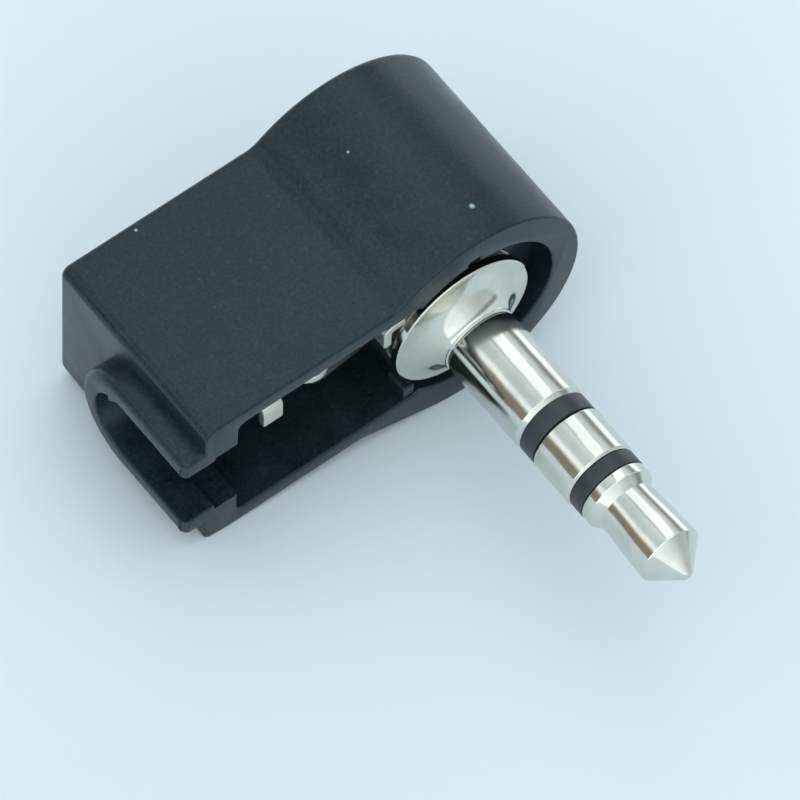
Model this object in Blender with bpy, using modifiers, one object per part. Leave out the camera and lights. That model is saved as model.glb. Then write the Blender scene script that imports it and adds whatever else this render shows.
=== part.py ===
"""Right-angle stereo jack plug with its cover off.

One moulded shell, open on the pin side and at the cable end, holds a contact insert:
a turned sleeve with a flange, a ring contact and a tip contact, two moulded insulators
between them, and behind the flange the ground strap, two washers and two solder tags.

All sizes are in metres. The shell frame has its origin on the pin axis in the plane of
the shell's open rim: X runs towards the cable end, Y runs from the shell to the pin's
tip, and Z runs across the neck. The whole plug is then laid down as it comes to rest,
on the round of the head and the far edge of the neck.
"""

import math

import bmesh
import bpy

# Shell, outside
HEAD_RADIUS = 0.0058
HEAD_OFFSET = -0.0003
SHELL_DEPTH = 0.0101
NECK_HALF = 0.00435
NECK_END = 0.0135
TOP_END_ROUND = 0.0005
LOW_END_ROUND = 0.0013
EDGE_ROUND = 0.0003
NECK_FILLET = 0.0010
FLANK_ANGLE = math.radians(17.0)

# Shell, inside
BACK_WALL = 0.0029
NECK_WALL = 0.00085
END_WALL = 0.0017
BAY_START = 0.0022
BAY_CORNER = 0.0004
BORE_RADIUS = 0.00425
BORE_OFFSET = -0.00045
INNER_BORE_RADIUS = 0.0031
KEY_SLOT_WIDTH = 0.0006
KEY_SLOT_DEPTH = 0.0003
KEY_SLOT_ROUND = 0.0001
NUB_START = 0.0024
NUB_LENGTH = 0.0006
NUB_HEIGHT = 0.00075
NUB_DEPTH = 0.0011
NUB_DROP = 0.0001
NUB_ROUND = 0.00012

# Cable exit
LIP_LENGTH = 0.0011
LIP_WALL = 0.0010
CABLE_HALF = 0.00185
CABLE_CENTRE = 0.0043
CABLE_STEP = 0.00025
CABLE_STEP_LENGTH = 0.0012
LIP_EDGE_ROUND = 0.00015

# Pin, along its axis from the rim plane
PIN_RADIUS = 0.00175
SLEEVE_LENGTH = 0.00595
SLEEVE_CHAMFER = 0.00025
SLEEVE_BORE = 0.00142
FLANGE_RADIUS = 0.00347
FLANGE_FRONT = -0.00006
FLANGE_EDGE = 0.00045
FLARE_LENGTH = 0.0011
FLARE_TURN = math.radians(20.0)
HUB_RADIUS = 0.0026
HUB_DEPTH = 0.0004
OUTER_BAND_LENGTH = 0.0009
OUTER_BAND_RADIUS = 0.0017
RING_LENGTH = 0.00239
RING_RADIUS = 0.00173
RING_CHAMFER = 0.0001
INNER_BAND_LENGTH = 0.00076
INNER_BAND_RADIUS = 0.00166
TIP_COLLAR_LENGTH = 0.0005
TIP_COLLAR_RADIUS = 0.00165
TIP_TAPER_LENGTH = 0.00042
TIP_NECK_RADIUS = 0.00133
TIP_SWELL_LENGTH = 0.00293
TIP_SWELL_RADIUS = 0.00148
TIP_SWELL_FALL = 1.5
TIP_CONE_LENGTH = 0.00129
TIP_END_RADIUS = 0.0004

# Contact insert behind the flange
FIT = 0.00003
RING_TUBE_RADIUS = 0.0011
RING_TUBE_WALL = 0.00022
ROD_RADIUS = 0.00056
BOSS_RADIUS = 0.0023
STAKE_WIDTH = 0.0003
STAKE_HEIGHT = 0.0002
SHEET = 0.0004
TAG_SHEET = 0.00035
FRONT_WASHER_RADIUS = 0.0028
FRONT_WASHER_THICKNESS = 0.0006
RING_FLARE_WIDTH = 0.0004
RING_FLARE_HEIGHT = 0.00024
REAR_WASHER_RADIUS = 0.0023
REAR_WASHER_THICKNESS = 0.0006
ROD_HEAD_RADIUS = 0.001
ROD_HEAD_HEIGHT = 0.0004
ROD_HEAD_END_RADIUS = 0.0007
RING_TAG_RADIUS = 0.002
TIP_TAG_RADIUS = 0.0017
TAG_REACH = 0.0066
TAG_WIDTH = 0.0015
TAG_HOLE = 0.00045
TAG_SPREAD = math.radians(12.0)

# Ground strap
STRAP_PLATE_RADIUS = 0.0033
STRAP_WALL_GAP = 0.0003
STRAP_RIM_DROP = 0.0001
HOOK_START = 0.00305
HOOK_LENGTH = 0.0011
HOOK_DROP = 0.0012
STRIP_LOW_EDGE = 0.0010
STRIP_BACK_EDGE = 0.0024
BOW_MIDDLE = 0.00755
BOW_HALF = 0.00085
BOW_HEIGHT = 0.0004
CLAMP_START = 0.0094
CLAMP_LENGTH = 0.0010
CLAMP_FLOOR_GAP = 0.0005
CLAMP_EAR = 0.0013
BEND_RADIUS = 0.0004

# Facets
SHELL_STEPS = 72
TURNED_STEPS = 56
SMALL_STEPS = 40
MERGE = 0.000001

# Places that follow from the sizes above
FLANGE_BACK = FLANGE_FRONT - FLANGE_EDGE
HUB_BACK = FLANGE_BACK - HUB_DEPTH
STRAP_FRONT = HUB_BACK - FIT
STRAP_BACK = STRAP_FRONT - SHEET
STAKE_FRONT = STRAP_BACK - FIT
SLEEVE_BACK = STAKE_FRONT - STAKE_HEIGHT
FRONT_WASHER_TOP = SLEEVE_BACK - FIT
FRONT_WASHER_BACK = FRONT_WASHER_TOP - FRONT_WASHER_THICKNESS
RING_TAG_TOP = FRONT_WASHER_BACK - FIT
RING_TAG_BACK = RING_TAG_TOP - TAG_SHEET
RING_FLARE_TOP = RING_TAG_BACK - FIT
RING_BACK = RING_FLARE_TOP - RING_FLARE_HEIGHT
REAR_WASHER_TOP = RING_BACK - FIT
REAR_WASHER_BACK = REAR_WASHER_TOP - REAR_WASHER_THICKNESS
TIP_TAG_TOP = REAR_WASHER_BACK - FIT
TIP_TAG_BACK = TIP_TAG_TOP - TAG_SHEET
ROD_HEAD_TOP = TIP_TAG_BACK - FIT
ROD_BACK = ROD_HEAD_TOP - ROD_HEAD_HEIGHT
OUTER_BAND_BACK = SLEEVE_LENGTH + FIT
OUTER_BAND_FRONT = OUTER_BAND_BACK + OUTER_BAND_LENGTH
RING_START = OUTER_BAND_FRONT + FIT
RING_FRONT = RING_START + RING_LENGTH
INNER_BAND_BACK = RING_FRONT + FIT
INNER_BAND_FRONT = INNER_BAND_BACK + INNER_BAND_LENGTH
TIP_START = INNER_BAND_FRONT + FIT
TIP_TAPER_END = TIP_START + TIP_COLLAR_LENGTH + TIP_TAPER_LENGTH
TIP_SWELL_END = TIP_TAPER_END + TIP_SWELL_LENGTH
TIP_END = TIP_SWELL_END + TIP_CONE_LENGTH
INNER_HALF = NECK_HALF - NECK_WALL
BAY_END = NECK_END - END_WALL
FLOOR = -(SHELL_DEPTH - BACK_WALL)
SEAT = STRAP_BACK - FIT
CLAMP_BACK = FLOOR + CLAMP_FLOOR_GAP + SHEET / 2
LIP_HALF = CABLE_HALF + LIP_WALL
STRAP_OUTER = INNER_HALF - STRAP_WALL_GAP
STRAP_MID = STRAP_OUTER - SHEET / 2
TUBE_INNER = RING_TUBE_RADIUS - RING_TUBE_WALL
PAST = 0.001


def clear_scene():
    """Remove every object that a new file starts with."""
    for item in list(bpy.data.objects):
        bpy.data.objects.remove(item, do_unlink=True)


def new_collection(name):
    """Add a collection to the scene."""
    group = bpy.data.collections.new(name)
    bpy.context.scene.collection.children.link(group)
    return group


def material(name, colour, roughness, metallic):
    """Make a Principled material from a colour, a roughness and a metallic value."""
    made = bpy.data.materials.new(name)
    made.use_nodes = True
    shader = made.node_tree.nodes["Principled BSDF"]
    shader.inputs["Base Color"].default_value = (*colour, 1.0)
    shader.inputs["Roughness"].default_value = roughness
    shader.inputs["Metallic"].default_value = metallic
    made.diffuse_color = (*colour, 1.0)
    return made


def arc(centre, radius, start, end, steps):
    """Points along a round arc, from one angle to the other, both ends included."""
    angles = [start + (end - start) * step / steps for step in range(steps + 1)]
    return [(centre[0] + radius * math.cos(a), centre[1] + radius * math.sin(a))
            for a in angles]


def rounded_box(low, high, radius, steps=4):
    """Outline of a box with four round corners."""
    points = []
    corners = ((high[0] - radius, low[1] + radius, -90), (high[0] - radius, high[1] - radius, 0),
               (low[0] + radius, high[1] - radius, 90), (low[0] + radius, low[1] + radius, 180))
    for x, y, first in corners:
        points += arc((x, y), radius, math.radians(first), math.radians(first + 90), steps)
    return points


def ribbon(path, thickness):
    """Outline of a bent strip: the path offset to both sides by half its thickness."""
    left = []
    right = []
    for index, point in enumerate(path):
        before = path[max(index - 1, 0)]
        after = path[min(index + 1, len(path) - 1)]
        step_in = (point[0] - before[0], point[1] - before[1])
        step_out = (after[0] - point[0], after[1] - point[1])
        normals = []
        for step in (step_in, step_out):
            length = math.hypot(*step)
            if length > 0:
                normals.append((-step[1] / length, step[0] / length))
        mean = [sum(n[axis] for n in normals) / len(normals) for axis in (0, 1)]
        reach = thickness / 2 / (mean[0] ** 2 + mean[1] ** 2)
        left.append((point[0] + mean[0] * reach, point[1] + mean[1] * reach))
        right.append((point[0] - mean[0] * reach, point[1] - mean[1] * reach))
    return left + right[::-1]


def corner(points, radius, steps=5):
    """Round the inner corners of a path whose runs meet square."""
    path = [points[0]]
    for before, at, after in zip(points, points[1:], points[2:]):
        ways = []
        for other in (before, after):
            length = math.hypot(other[0] - at[0], other[1] - at[1])
            ways.append(((other[0] - at[0]) / length, (other[1] - at[1]) / length))
        centre = [at[axis] + radius * (ways[0][axis] + ways[1][axis]) for axis in (0, 1)]
        for step in range(steps + 1):
            turn = math.pi / 2 * step / steps
            path.append(tuple(centre[axis] - radius * (math.cos(turn) * ways[1][axis]
                                                       + math.sin(turn) * ways[0][axis])
                              for axis in (0, 1)))
    return path + [points[-1]]


PLANES = {
    "XZ": (math.radians(90), 0.0, 0.0),
    "YZ": (math.radians(90), 0.0, math.radians(90)),
    "XY": (0.0, 0.0, 0.0),
}


def prism(name, outline, plane, low, high, holes=()):
    """Extrude a flat outline, with its holes, between two heights across its plane."""
    flat = bpy.data.curves.new(name, "CURVE")
    flat.dimensions = "2D"
    flat.fill_mode = "BOTH"
    flat.extrude = (high - low) / 2
    for points in (outline, *holes):
        spline = flat.splines.new("POLY")
        spline.points.add(len(points) - 1)
        for place, (x, y) in zip(spline.points, points):
            place.co = (x, y, 0.0, 1.0)
        spline.use_cyclic_u = True
    guide = bpy.data.objects.new(name + "_outline", flat)
    bpy.context.scene.collection.objects.link(guide)
    guide.rotation_euler = PLANES[plane]
    middle = (low + high) / 2
    guide.location = {"XZ": (0, middle, 0), "YZ": (middle, 0, 0), "XY": (0, 0, middle)}[plane]
    bpy.context.view_layer.update()
    graph = bpy.context.evaluated_depsgraph_get()
    mesh = bpy.data.meshes.new_from_object(guide.evaluated_get(graph))
    weld = bmesh.new()
    weld.from_mesh(mesh)
    bmesh.ops.remove_doubles(weld, verts=weld.verts, dist=MERGE)
    bmesh.ops.recalc_face_normals(weld, faces=weld.faces)
    if not holes:
        bmesh.ops.dissolve_limit(weld, angle_limit=math.radians(0.5), verts=weld.verts,
                                 edges=weld.edges)
    weld.to_mesh(mesh)
    weld.free()
    solid = bpy.data.objects.new(name, mesh)
    solid.matrix_world = guide.matrix_world
    bpy.data.objects.remove(guide, do_unlink=True)
    bpy.data.curves.remove(flat)
    return solid


def turned(name, profile, steps, closed=True):
    """Turn a profile of (radius, height) points about the pin's axis."""
    mesh = bpy.data.meshes.new(name)
    count = len(profile)
    links = [(i, i + 1) for i in range(count - 1)]
    if closed:
        links.append((count - 1, 0))
    mesh.from_pydata([(radius, 0.0, height) for radius, height in profile], links, [])
    solid = bpy.data.objects.new(name, mesh)
    screw = solid.modifiers.new("turn", "SCREW")
    screw.steps = steps
    screw.render_steps = steps
    screw.use_merge_vertices = True
    screw.merge_threshold = MERGE
    screw.use_smooth_shade = True
    solid.rotation_euler = (math.radians(-90), 0.0, 0.0)
    return solid


def cylinder(name, radius, low, high, offset, steps):
    """A round cutter along the pin's axis, between two heights."""
    bpy.ops.mesh.primitive_cylinder_add(vertices=steps, radius=radius, depth=high - low,
                                        location=(offset, (low + high) / 2, 0.0),
                                        rotation=(math.radians(-90), 0.0, 0.0))
    solid = bpy.context.object
    solid.name = name
    return solid


def combine(solid, tool, operation):
    """Add, take away or keep the common part of a second solid."""
    step = solid.modifiers.new(tool.name, "BOOLEAN")
    step.operation = operation
    step.object = tool
    step.solver = "EXACT"


def round_edges(solid, width, segments=3):
    """Round the edges that turn by more than 50 degrees."""
    step = solid.modifiers.new("edges", "BEVEL")
    step.width = width
    step.segments = segments
    step.limit_method = "ANGLE"
    step.angle_limit = math.radians(50)
    step.use_clamp_overlap = False


def smooth(solid):
    """Shade the round faces smooth and keep the edges crisp."""
    solid.data.shade_smooth()
    solid.data.set_sharp_from_angle(angle=math.radians(35))


def place(solid, group, rest, look=None):
    """Put a solid in its collection, under the empty that lays the plug down."""
    for holder in list(solid.users_collection):
        holder.objects.unlink(solid)
    group.objects.link(solid)
    solid.parent = rest
    if look is not None:
        solid.data.materials.clear()
        solid.data.materials.append(look)
    else:
        solid.hide_render = True
        solid.display_type = "WIRE"


def shell_outline():
    """Round head, fillet and straight neck above, sloping flank below, round end corners."""
    rise = NECK_HALF + NECK_FILLET
    reach = math.sqrt((HEAD_RADIUS + NECK_FILLET) ** 2 - rise ** 2)
    fillet_centre = (HEAD_OFFSET + reach, rise)
    meet = math.atan2(rise, reach)
    flank_x = HEAD_OFFSET + HEAD_RADIUS * math.sin(FLANK_ANGLE)
    flank_z = HEAD_RADIUS * math.cos(FLANK_ANGLE)
    flank_end = flank_x + max(flank_z - NECK_HALF, 0.0) / math.tan(FLANK_ANGLE)
    points = [(flank_end, -NECK_HALF)]
    points += arc((NECK_END - LOW_END_ROUND, LOW_END_ROUND - NECK_HALF), LOW_END_ROUND,
                  math.radians(-90), 0.0, 8)
    points += arc((NECK_END - TOP_END_ROUND, NECK_HALF - TOP_END_ROUND), TOP_END_ROUND,
                  0.0, math.radians(90), 5)
    points += arc(fillet_centre, NECK_FILLET, math.radians(-90), meet - math.pi, 6)
    points += arc((HEAD_OFFSET, 0.0), HEAD_RADIUS, meet,
                  2 * math.pi - math.pi / 2 + FLANK_ANGLE, SHELL_STEPS)[1:]
    return points


def slot_outline(half):
    """Open slot with a round closed end, seen along the neck."""
    return [(PAST, -half)] + arc((-CABLE_CENTRE, 0.0), half, math.radians(270),
                                 math.radians(90), 20) + [(PAST, half)]


def make_housing():
    """The moulded shell and the solids that cut it and add to it."""
    shell = prism("housing_shell", shell_outline(), "XZ", -SHELL_DEPTH, 0.0)
    lip_outline = [(0.0, -LIP_HALF)] + slot_outline(LIP_HALF)[1:-1] + [(0.0, LIP_HALF)]
    lip = prism("cable_lip", lip_outline, "YZ", BAY_END + END_WALL / 2, NECK_END + LIP_LENGTH)
    round_edges(lip, LIP_EDGE_ROUND)
    seat_bore = cylinder("seat_bore", BORE_RADIUS, SEAT, PAST, BORE_OFFSET, SHELL_STEPS)
    inner_bore = cylinder("inner_bore", INNER_BORE_RADIUS, FLOOR, PAST, 0.0, SHELL_STEPS)
    bay = prism("wire_bay", rounded_box((BAY_START, -INNER_HALF), (BAY_END, INNER_HALF),
                                        BAY_CORNER), "XZ", FLOOR, PAST)
    wide = prism("cable_slot", slot_outline(CABLE_HALF + CABLE_STEP), "YZ",
                 BAY_END - PAST, BAY_END + CABLE_STEP_LENGTH)
    narrow = prism("cable_mouth", slot_outline(CABLE_HALF), "YZ",
                   BAY_END - PAST / 2, NECK_END + LIP_LENGTH + PAST)
    key_top = BORE_RADIUS + KEY_SLOT_DEPTH
    key = prism("key_slot", rounded_box((BORE_OFFSET - KEY_SLOT_WIDTH / 2, key_top - PAST),
                                        (BORE_OFFSET + KEY_SLOT_WIDTH / 2, key_top),
                                        KEY_SLOT_ROUND), "XZ", SEAT, PAST)
    nub = prism("snap_nub", rounded_box((NUB_START, -INNER_HALF - NECK_WALL / 2),
                                        (NUB_START + NUB_LENGTH, -INNER_HALF + NUB_HEIGHT),
                                        NUB_ROUND), "XZ", -NUB_DROP - NUB_DEPTH, -NUB_DROP)
    round_edges(shell, EDGE_ROUND)
    combine(shell, lip, "UNION")
    for cutter in (seat_bore, inner_bore, bay, wide, narrow, key):
        combine(shell, cutter, "DIFFERENCE")
    combine(shell, nub, "UNION")
    smooth(shell)
    return shell, (lip, seat_bore, inner_bore, bay, wide, narrow, key, nub)


def make_sleeve():
    """Sleeve, bell flare, flange, hub and the staked boss that holds the strap."""
    flare = []
    for step in range(10):
        turn = FLARE_TURN + (math.pi / 2 - FLARE_TURN) * step / 9
        flare.append((FLANGE_RADIUS - (FLANGE_RADIUS - PIN_RADIUS) * math.cos(turn)
                      / math.cos(FLARE_TURN),
                      FLANGE_FRONT + FLARE_LENGTH * (1 - math.sin(turn))
                      / (1 - math.sin(FLARE_TURN))))
    profile = [(PIN_RADIUS - SLEEVE_CHAMFER, SLEEVE_LENGTH),
               (PIN_RADIUS, SLEEVE_LENGTH - SLEEVE_CHAMFER)] + flare
    profile += [(FLANGE_RADIUS, FLANGE_BACK), (HUB_RADIUS, FLANGE_BACK), (HUB_RADIUS, HUB_BACK),
                (BOSS_RADIUS, HUB_BACK), (BOSS_RADIUS, STAKE_FRONT),
                (BOSS_RADIUS + STAKE_WIDTH, STAKE_FRONT), (BOSS_RADIUS, SLEEVE_BACK),
                (SLEEVE_BORE, SLEEVE_BACK), (SLEEVE_BORE, SLEEVE_LENGTH)]
    return turned("sleeve_contact", profile, TURNED_STEPS)


def make_outer_insulator():
    """Band between sleeve and ring, with the tube that lines the sleeve."""
    tube = SLEEVE_BORE - FIT
    bore = RING_TUBE_RADIUS + FIT
    profile = [(OUTER_BAND_RADIUS, OUTER_BAND_FRONT), (OUTER_BAND_RADIUS, OUTER_BAND_BACK),
               (tube, OUTER_BAND_BACK), (tube, SLEEVE_BACK),
               (bore, SLEEVE_BACK), (bore, OUTER_BAND_FRONT)]
    return turned("outer_insulator", profile, SMALL_STEPS)


def make_ring():
    """Ring contact and the tube that carries it back to its solder tag."""
    profile = [(RING_RADIUS - RING_CHAMFER, RING_FRONT), (RING_RADIUS, RING_FRONT - RING_CHAMFER),
               (RING_RADIUS, RING_START + RING_CHAMFER), (RING_RADIUS - RING_CHAMFER, RING_START),
               (RING_TUBE_RADIUS, RING_START), (RING_TUBE_RADIUS, RING_FLARE_TOP),
               (RING_TUBE_RADIUS + RING_FLARE_WIDTH, RING_FLARE_TOP),
               (RING_TUBE_RADIUS + RING_FLARE_WIDTH / 2, RING_BACK), (TUBE_INNER, RING_BACK),
               (TUBE_INNER, RING_FRONT)]
    return turned("ring_contact", profile, TURNED_STEPS)


def make_inner_insulator():
    """Band between ring and tip, with the tube that lines the ring's tube."""
    tube = TUBE_INNER - FIT
    bore = ROD_RADIUS + FIT
    profile = [(INNER_BAND_RADIUS, INNER_BAND_FRONT), (INNER_BAND_RADIUS, INNER_BAND_BACK),
               (tube, INNER_BAND_BACK), (tube, RING_BACK), (bore, RING_BACK),
               (bore, INNER_BAND_FRONT)]
    return turned("inner_insulator", profile, SMALL_STEPS)


def make_tip():
    """Tip contact: collar, neck, swelling and cone, on a rod with a peened head."""
    round_steps = 4
    slope = math.atan2(TIP_SWELL_RADIUS - TIP_END_RADIUS, TIP_CONE_LENGTH - TIP_END_RADIUS)
    nose = [(TIP_END_RADIUS * math.sin(slope * step / round_steps),
             TIP_END - TIP_END_RADIUS * (1 - math.cos(slope * step / round_steps)))
            for step in range(round_steps + 1)]
    nose[0] = (0.0, TIP_END)
    swell = []
    for share in (step / 6 for step in range(7)):
        bulge = (TIP_SWELL_RADIUS - TIP_NECK_RADIUS) * math.cos(math.pi / 2 * share) ** TIP_SWELL_FALL
        swell.append((TIP_NECK_RADIUS + bulge, TIP_SWELL_END - TIP_SWELL_LENGTH * share))
    profile = nose + swell
    profile += [(TIP_COLLAR_RADIUS, TIP_START + TIP_COLLAR_LENGTH), (TIP_COLLAR_RADIUS, TIP_START),
                (ROD_RADIUS, TIP_START), (ROD_RADIUS, ROD_HEAD_TOP),
                (ROD_HEAD_RADIUS, ROD_HEAD_TOP), (ROD_HEAD_END_RADIUS, ROD_BACK),
                (0.0, ROD_BACK)]
    return turned("tip_contact", profile, TURNED_STEPS, closed=False)


def make_washer(name, radius, bore, top, thickness):
    """Flat insulating washer."""
    back = top - thickness
    return turned(name, [(radius, top), (radius, back), (bore, back), (bore, top)], SMALL_STEPS)


def make_tag(name, radius, bore, top, turn):
    """Solder tag: an eye round the stem and a tongue with a wire hole in the bay."""
    half = TAG_WIDTH / 2
    meet = math.asin(half / radius)
    eye = arc((0.0, 0.0), radius, meet, 2 * math.pi - meet, 24)
    tongue = arc((TAG_REACH - half, 0.0), half, -math.pi / 2, math.pi / 2, 10)
    points = [(x * math.cos(turn) - z * math.sin(turn), x * math.sin(turn) + z * math.cos(turn))
              for x, z in eye + tongue]
    hole = ((TAG_REACH - half) * math.cos(turn), (TAG_REACH - half) * math.sin(turn))
    bores = (arc((0.0, 0.0), bore, 0.0, 2 * math.pi, 24)[:-1],
             arc(hole, TAG_HOLE, 0.0, 2 * math.pi, 12)[:-1])
    tag = prism(name, points, "XZ", top - TAG_SHEET, top, bores)
    smooth(tag)
    return tag


def make_strap():
    """Ground strap, one bent stamping: eye, hook, strip along the wall, cable clamp."""
    hook_end = HOOK_START + HOOK_LENGTH
    web = hook_end - SHEET / 2
    meet = math.asin(HOOK_DROP / STRAP_PLATE_RADIUS)
    top = STRAP_OUTER
    eye = [(hook_end, STRAP_MID - HOOK_DROP), (hook_end, top)]
    eye += arc((0.0, 0.0), STRAP_PLATE_RADIUS, math.asin(min(top / STRAP_PLATE_RADIUS, 1.0)),
               2 * math.pi + meet, 40)
    hole = arc((0.0, 0.0), BOSS_RADIUS + FIT, 0.0, 2 * math.pi, 36)[:-1]
    strap = prism("ground_strap", eye, "XZ", STRAP_BACK, STRAP_FRONT, (hole,))
    hook_path = corner([(HOOK_START, STRAP_MID), (web, STRAP_MID),
                        (web, STRAP_MID - HOOK_DROP)], BEND_RADIUS)
    hook = prism("strap_hook", ribbon(hook_path, SHEET), "XZ", STRAP_BACK, -STRAP_RIM_DROP)
    clamp_end = CLAMP_START + CLAMP_LENGTH
    side = [(web - SHEET, -STRIP_BACK_EDGE), (clamp_end, -STRIP_BACK_EDGE),
            (clamp_end, -STRAP_RIM_DROP - BOW_HEIGHT)]
    side += [(BOW_MIDDLE - BOW_HALF * share, -STRAP_RIM_DROP - BOW_HEIGHT * share ** 2)
             for share in (step / 5 for step in range(-5, 6))]
    side += [(BOW_MIDDLE - BOW_HALF - BEND_RADIUS, -STRIP_LOW_EDGE),
             (web - SHEET, -STRIP_LOW_EDGE)]
    strip = prism("strap_strip", side, "XY", STRAP_OUTER - SHEET, STRAP_OUTER)
    front = -STRAP_RIM_DROP - SHEET / 2
    clamp_path = corner([(front, STRAP_MID - CLAMP_EAR), (front, STRAP_MID),
                         (CLAMP_BACK, STRAP_MID), (CLAMP_BACK, STRAP_MID - CLAMP_EAR)],
                        BEND_RADIUS)
    clamp = prism("strap_clamp", ribbon(clamp_path, SHEET), "YZ", CLAMP_START, clamp_end)
    for piece in (hook, strip, clamp):
        combine(strap, piece, "UNION")
    smooth(strap)
    return strap, (hook, strip, clamp)


def rest_angle():
    """Turn about the pin's axis that brings head and neck end down on one plane."""
    along = NECK_END - HEAD_OFFSET - LOW_END_ROUND
    across = NECK_HALF - LOW_END_ROUND
    drop = HEAD_RADIUS - LOW_END_ROUND
    return math.asin(drop / math.hypot(along, across)) - math.atan2(across, along)


def rest_place(turn):
    """Shift that puts the lying plug's middle over the origin, on the plane Z = 0."""
    low_x = HEAD_OFFSET * math.cos(turn) - HEAD_RADIUS
    far = NECK_END + LIP_LENGTH - LIP_EDGE_ROUND
    high_x = (far * math.cos(turn) + (LIP_HALF - LIP_EDGE_ROUND) * math.sin(turn)
              + LIP_EDGE_ROUND)
    low_z = -HEAD_OFFSET * math.sin(turn) - HEAD_RADIUS
    return (-(low_x + high_x) / 2, -(TIP_END - SHELL_DEPTH) / 2, -low_z)


def main():
    """Build the plug."""
    clear_scene()
    parts = new_collection("stereo_jack_plug")
    cutters = new_collection("cutters")
    turn = rest_angle()
    rest = bpy.data.objects.new("plug_at_rest", None)
    rest.rotation_euler = (0.0, turn, 0.0)
    rest.location = rest_place(turn)
    parts.objects.link(rest)

    black = material("moulded_black", (0.035, 0.048, 0.056), 0.48, 0.0)
    nickel = material("nickel_plate", (0.62, 0.60, 0.55), 0.22, 1.0)
    plate = material("tinned_plate", (0.66, 0.65, 0.60), 0.32, 1.0)
    insulation = material("insulation", (0.030, 0.037, 0.042), 0.40, 0.0)
    fibre = material("washer_fibre", (0.045, 0.042, 0.038), 0.70, 0.0)

    shell, shell_tools = make_housing()
    strap, strap_tools = make_strap()
    pieces = (
        (shell, black),
        (make_sleeve(), nickel),
        (make_outer_insulator(), insulation),
        (make_ring(), nickel),
        (make_inner_insulator(), insulation),
        (make_tip(), nickel),
        (strap, plate),
        (make_washer("front_washer", FRONT_WASHER_RADIUS, RING_TUBE_RADIUS + FIT,
                     FRONT_WASHER_TOP, FRONT_WASHER_THICKNESS), fibre),
        (make_tag("ring_solder_tag", RING_TAG_RADIUS, RING_TUBE_RADIUS + FIT, RING_TAG_TOP,
                  -TAG_SPREAD), plate),
        (make_washer("rear_washer", REAR_WASHER_RADIUS, ROD_RADIUS + FIT,
                     REAR_WASHER_TOP, REAR_WASHER_THICKNESS), fibre),
        (make_tag("tip_solder_tag", TIP_TAG_RADIUS, ROD_RADIUS + FIT, TIP_TAG_TOP,
                  TAG_SPREAD), plate),
    )
    for solid, look in pieces:
        place(solid, parts, rest, look)
    for tool in shell_tools + strap_tools:
        place(tool, cutters, rest)


main()
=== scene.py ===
"""Right-angle stereo jack plug with its cover off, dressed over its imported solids.

Every piece is worked out in the shell's own frame and then laid down with the plug. In
that frame the origin is on the pin's axis in the plane of the shell's open rim, X runs
towards the cable end, Y from the shell to the pin's tip and Z across the neck.
"""

import math
from types import SimpleNamespace

import bmesh
import bpy
import numpy as np
from bpy.props import FloatProperty, FloatVectorProperty, IntProperty, PointerProperty
from mathutils import Matrix, Vector


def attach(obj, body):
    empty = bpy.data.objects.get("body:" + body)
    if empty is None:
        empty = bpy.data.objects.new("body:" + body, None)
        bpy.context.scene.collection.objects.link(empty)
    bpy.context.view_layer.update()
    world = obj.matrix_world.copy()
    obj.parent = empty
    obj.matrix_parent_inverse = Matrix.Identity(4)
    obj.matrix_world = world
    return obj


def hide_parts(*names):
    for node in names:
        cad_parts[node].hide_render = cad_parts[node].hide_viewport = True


bl_info = {
    "name": "Stereo jack plug",
    "version": (1, 0, 0),
    "blender": (4, 5, 0),
    "location": "3D View > Sidebar > Jack plug",
    "description": "Builds a right-angle stereo jack plug with its cover off",
    "category": "Add Mesh",
}

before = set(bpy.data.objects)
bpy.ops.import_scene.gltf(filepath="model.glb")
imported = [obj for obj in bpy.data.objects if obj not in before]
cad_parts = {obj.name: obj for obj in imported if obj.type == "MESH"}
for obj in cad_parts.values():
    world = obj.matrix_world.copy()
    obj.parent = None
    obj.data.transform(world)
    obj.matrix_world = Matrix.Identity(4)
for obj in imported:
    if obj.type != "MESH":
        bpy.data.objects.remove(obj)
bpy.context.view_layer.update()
BODY = "root"
MERGE = 1e-7  # points nearer to each other than this are one
# Tints of the room
COOL = (0.89, 0.98, 1.0)
PLAIN = (0.95, 0.99, 1.0)
BROWN = (1.0, 0.90, 0.74)
# Specks of dust: place in the shell's frame and size
DUST = (((0.00985, -0.00967, 0.00435), 0.00007), ((0.0010, -0.00681, 0.00565), 0.00006),
        ((-0.00152, -0.00165, 0.00567), 0.00012))
# Strips of the room: degrees round the pin's axis from +X, level and tint
ROOM_STRIPS = ((0, 0.28, BROWN), (22, 0.26, BROWN), (27, 0.45, BROWN), (34, 1.25, COOL),
               (43, 1.2, COOL), (50, 0.76, COOL), (66, 0.78, COOL), (84, 0.92, COOL),
               (91, 0.55, COOL), (113, 0.55, COOL), (118, 0.95, COOL), (130, 0.9, COOL),
               (141, 0.64, COOL), (146, 0.34, PLAIN), (155, 0.34, PLAIN), (162, 1.5, COOL),
               (176, 1.5, COOL), (180, 1.1, COOL))
# Bands of the room on the tip's side: share of the way from level to the pin's way, level
ROOM_BANDS = ((0.0, 1.18), (0.34, 1.18), (0.40, 0.45), (0.50, 0.45), (0.56, 0.92),
              (0.75, 0.85), (1.0, 0.9))
# Room's light on the tip's side: its level away from the cable, the span over which it rises
# towards the cable, and the span over which the strips give way to the bands
AWAY_LEVEL = 0.75
SIDE_SPAN = (-0.5, 0.8)
FRONT_SPAN = (-0.3, 0.1)
# Overhead lamp: its sides, colour, way from the plug and distance
LAMP_SIDES = (0.24, 0.42)
LAMP_TINT = (0.95, 0.99, 1.0)
LAMP_WAY = (-0.24, -0.387, 0.89)
LAMP_DISTANCE = 0.6
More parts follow.
